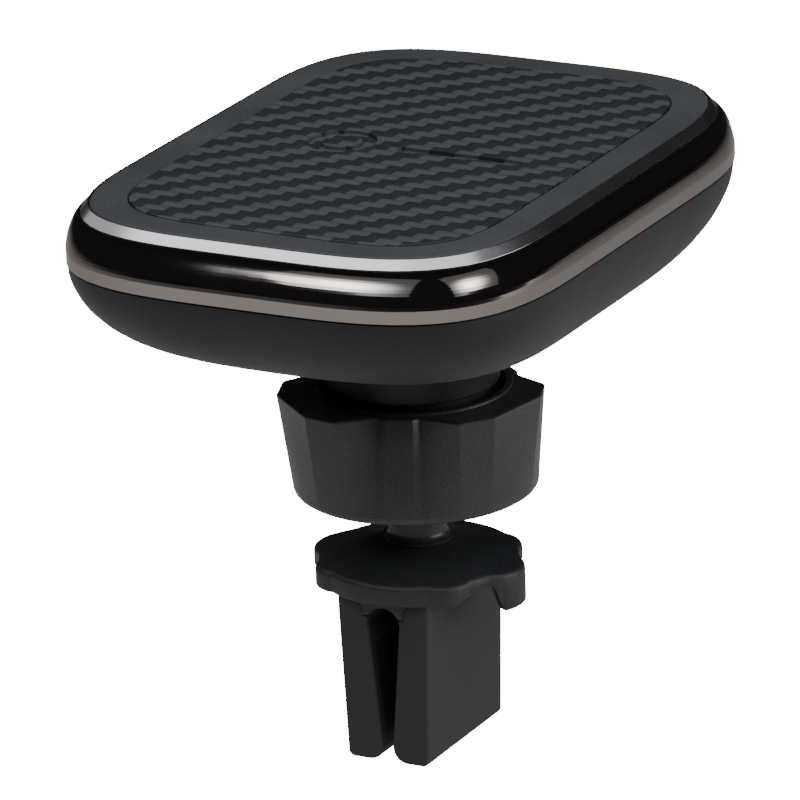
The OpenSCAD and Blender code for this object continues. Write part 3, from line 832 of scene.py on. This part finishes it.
class MOUNT_OT_inner(bpy.types.Operator):
    """Finishes of the inner pieces, whose shapes come from the CAD model"""
    bl_idname = "mount.inner"
    bl_label = "Inner finishes"

    def execute(self, context):
        plastic = grained("inner_plastic", (0.03, 0.03, 0.032), 0.45)
        steel = plated("screw_steel", (0.5, 0.5, 0.51), 0.28, 0.2)
        yoke = plated("yoke_steel", (0.56, 0.56, 0.57), 0.32, 0.25)
        seat = grained("seat_plastic", (0.68, 0.67, 0.61), 0.4, contrast=0.05)
        rubber = grained("grip_rubber", (0.012, 0.012, 0.012), 0.72, scale=2600, depth=0.03)
        finishes = {
            "inlay_adhesive": grained("adhesive", (0.72, 0.71, 0.65), 0.5, contrast=0.06),
            "foam_pad": grained("foam", (0.02, 0.02, 0.02), 0.9, scale=1500, depth=0.12),
            "magnets": plated("magnet", (0.62, 0.61, 0.6), 0.14, 0.12),
            "magnet_tray": plastic, "ball_socket": plastic, "steel_yoke": yoke, "tray_screws": steel,
            "frame_screws": steel, "socket_screws": steel, "ball_pad": seat, "ball_seat_ring": seat,
            "left_grip_pad": rubber, "right_grip_pad": rubber}
        for node, material in finishes.items():
            mesh = frame["nodes"][node].data
            mesh.materials.clear()
            mesh.materials.append(material)
        return {"FINISHED"}


# --- Studio ---------------------------------------------------------------------------------------

def toward(azimuth, elevation):
    """Unit vector to a point round the mount: azimuth 0 is -Y and 90 is +X."""
    return Vector((math.sin(azimuth) * math.cos(elevation), -math.cos(azimuth) * math.cos(elevation),
                   math.sin(elevation)))


class MOUNT_OT_stage(bpy.types.Operator):
    """Pale floor, soft studio lights and the camera"""
    bl_idname = "mount.stage"
    bl_label = "Stage"

    def floor(self, studio):
        """A round floor, pale and evenly bright as seen, and a plain matte one for all other light."""
        material = bpy.data.materials.new("pale_floor")
        material.use_nodes = True
        n = Nodes(material.node_tree)
        n.tree.nodes.clear()
        matte = n.add("ShaderNodeBsdfDiffuse", {"Color": (0.55, 0.54, 0.53, 1)}).outputs[0]
        glow = n.add("ShaderNodeEmission", {"Strength": studio.backdrop}).outputs[0]
        seen = n.add("ShaderNodeLightPath").outputs["Is Camera Ray"]
        mixed = n.add("ShaderNodeMixShader", {0: seen, 1: matte, 2: glow}).outputs[0]
        n.add("ShaderNodeOutputMaterial", {0: mixed})
        t = np.linspace(0, 2 * np.pi, 65)[:-1]
        level = JAW_LOW * MM - studio.drop
        mesh = bpy.data.meshes.new("floor")
        mesh.from_pydata(np.stack([4 * np.cos(t), 4 * np.sin(t), np.full(64, level)], -1).tolist(), [],
                         [list(range(64))])
        mesh.materials.append(material)
        floor = bpy.data.objects.new("floor", mesh)
        bpy.context.scene.collection.objects.link(floor)

    def sky(self, studio):
        """A dim room for the reflections, and the same pale backdrop as the floor beyond it."""
        world = bpy.data.worlds.new("studio")
        bpy.context.scene.world = world
        world.use_nodes = True
        n = Nodes(world.node_tree)
        n.tree.nodes.clear()
        room = n.add("ShaderNodeBackground",
                     {"Color": (0.10, 0.10, 0.105, 1), "Strength": studio.room}).outputs[0]
        pale = n.add("ShaderNodeBackground", {"Strength": studio.backdrop}).outputs[0]
        seen = n.add("ShaderNodeLightPath").outputs["Is Camera Ray"]
        mixed = n.add("ShaderNodeMixShader", {0: seen, 1: room, 2: pale}).outputs[0]
        n.add("ShaderNodeOutputWorld", {0: mixed})

    def panel(self, name, azimuth, elevation, distance, size, radiance, core):
        """A soft rectangular light that faces the mount; core is its bright centre and spread, in shares."""
        light = bpy.data.lights.new(name, "AREA")
        light.shape = "RECTANGLE"
        light.size, light.size_y = size
        light.energy = math.pi * size[0] * size[1]
        light.use_nodes = True
        n = Nodes(light.node_tree)
        emission = light.node_tree.nodes["Emission"]
        where = n.add("ShaderNodeNewGeometry").outputs["Parametric"]
        away = n.add("ShaderNodeVectorMath", {0: where, 1: (core[0], core[1], 0)},
                     operation="SUBTRACT").outputs[0]
        away = n.add("ShaderNodeVectorMath", {0: away, 1: (1 / core[2], 1 / core[3], 0)},
                     operation="MULTIPLY").outputs[0]
        far = n.add("ShaderNodeVectorMath", {0: away}, operation="LENGTH").outputs["Value"]
        fall = n.math("EXPONENT", n.math("MULTIPLY", n.math("MULTIPLY", far, far), -1.0))
        strength = n.math("ADD", n.math("MULTIPLY", fall, radiance), radiance * core[4])
        n.tree.links.new(strength, emission.inputs["Strength"])
        back = toward(math.radians(azimuth), math.radians(elevation))
        lamp = self.hang(light, Vector((0, 0, FACE * MM)) + back * distance,
                         (-back).to_track_quat("-Z", "Y"))
        self.limit(lamp, "bezel_band", "INCLUDE")

    def hang(self, light, location, turn):
        lamp = bpy.data.objects.new(light.name, light)
        lamp.location = location
        lamp.rotation_mode = "QUATERNION"
        lamp.rotation_quaternion = turn
        lamp.visible_camera = False
        bpy.context.scene.collection.objects.link(lamp)
        return lamp

    def disc(self, name, radius, radiance, place_at, facing):
        """A round light placed from the phone face; its power is its radiance times pi times its area."""
        light = bpy.data.lights.new(name, "AREA")
        light.shape = "DISK"
        light.size = 2 * radius
        light.energy = radiance * math.pi * math.pi * radius ** 2
        return self.hang(light, Vector((0, 0, FACE * MM)) + place_at, facing.to_track_quat("-Z", "Y"))

    def limit(self, lamp, name, state):
        """Lights only one piece with the lamp, or leaves that piece out of its light."""
        group = bpy.data.collections.new(lamp.name + "_on_" + name)
        group.objects.link(bpy.data.objects[name])
        group.collection_objects[0].light_linking.link_state = state
        lamp.light_linking.receiver_collection = group

    def lights(self, studio):
        """Overhead and side lights that leave out the polished band, one for the bevel and two low panels."""
        height, radius = 0.45, 0.6
        overhead = self.disc("overhead", radius, studio.overhead, Vector((0, -0.3, height)),
                             Vector((0, 0, -1)))
        side = toward(math.radians(105), math.radians(8))
        right = self.disc("right_fill", 0.5, studio.right, side, -side)
        front = toward(math.radians(-60), math.radians(35))
        bevel = self.disc("bevel_light", 1.5, studio.bevel, front, -front)
        for lamp in (overhead, right):
            self.limit(lamp, "bezel_band", "EXCLUDE")
        self.limit(bevel, "bezel_bevel", "INCLUDE")
        self.panel("low_front", -2, 33, 1.0, (0.93, 0.77), studio.low, (0.27, 0.3, 0.33, 0.2, 0.02))
        self.panel("low_right", 81, 29, 1.0, (0.79, 0.77), studio.low, (0.42, 0.28, 0.22, 0.2, 0.02))

    def camera(self, studio):
        """The camera looks from its place to the aim point, then rolls about that line."""
        back = toward(studio.azimuth, studio.elevation)
        location = Vector((0, 0, FACE * MM)) + back * studio.distance
        line = (Vector(studio.aim) - location).normalized()
        turn = line.to_track_quat("-Z", "Y").to_matrix().to_4x4() @ Matrix.Rotation(studio.roll, 4, "Z")
        data = bpy.data.cameras.new("camera")
        data.lens = studio.lens
        data.sensor_width = 36
        data.clip_start, data.clip_end = 0.01, 20
        camera = bpy.data.objects.new("camera", data)
        camera.matrix_world = Matrix.Translation(location) @ turn
        bpy.context.scene.collection.objects.link(camera)
        bpy.context.scene.camera = camera

    def execute(self, context):
        _, _, studio = settings()
        self.floor(studio)
        self.sky(studio)
        self.lights(studio)
        self.camera(studio)
        return {"FINISHED"}


OPERATORS = (MOUNT_OT_inlay, MOUNT_OT_frame, MOUNT_OT_bezel, MOUNT_OT_shell, MOUNT_OT_nut, MOUNT_OT_clip,
             MOUNT_OT_jaws, MOUNT_OT_stud, MOUNT_OT_inner, MOUNT_OT_stage)


class MOUNT_PT_panel(bpy.types.Panel):
    """Sizes, colours and the steps that build the mount"""
    bl_idname = "MOUNT_PT_panel"
    bl_label = "Vent mount"
    bl_space_type = "VIEW_3D"
    bl_region_type = "UI"
    bl_category = "Mount"

    def draw(self, context):
        for group in settings():
            box = self.layout.box()
            for key in group.bl_rna.properties.keys():
                if key not in ("rna_type", "name"):
                    box.prop(group, key)
        for operator in OPERATORS:
            self.layout.operator(operator.bl_idname)


CLASSES = (MountShape, MountFinish, MountStudio, *OPERATORS, MOUNT_PT_panel)


def register():
    for each in CLASSES:
        bpy.utils.register_class(each)
    bpy.types.Scene.mount_shape = PointerProperty(type=MountShape)
    bpy.types.Scene.mount_finish = PointerProperty(type=MountFinish)
    bpy.types.Scene.mount_studio = PointerProperty(type=MountStudio)


def unregister():
    for key in ("mount_shape", "mount_finish", "mount_studio"):
        delattr(bpy.types.Scene, key)
    for each in reversed(CLASSES):
        bpy.utils.unregister_class(each)


def main():
    register()
    for step in (bpy.ops.mount.inlay, bpy.ops.mount.frame, bpy.ops.mount.bezel, bpy.ops.mount.shell,
                 bpy.ops.mount.nut, bpy.ops.mount.clip, bpy.ops.mount.jaws, bpy.ops.mount.stud,
                 bpy.ops.mount.inner, bpy.ops.mount.stage):
        step()


if __name__ == "__main__":
    main()
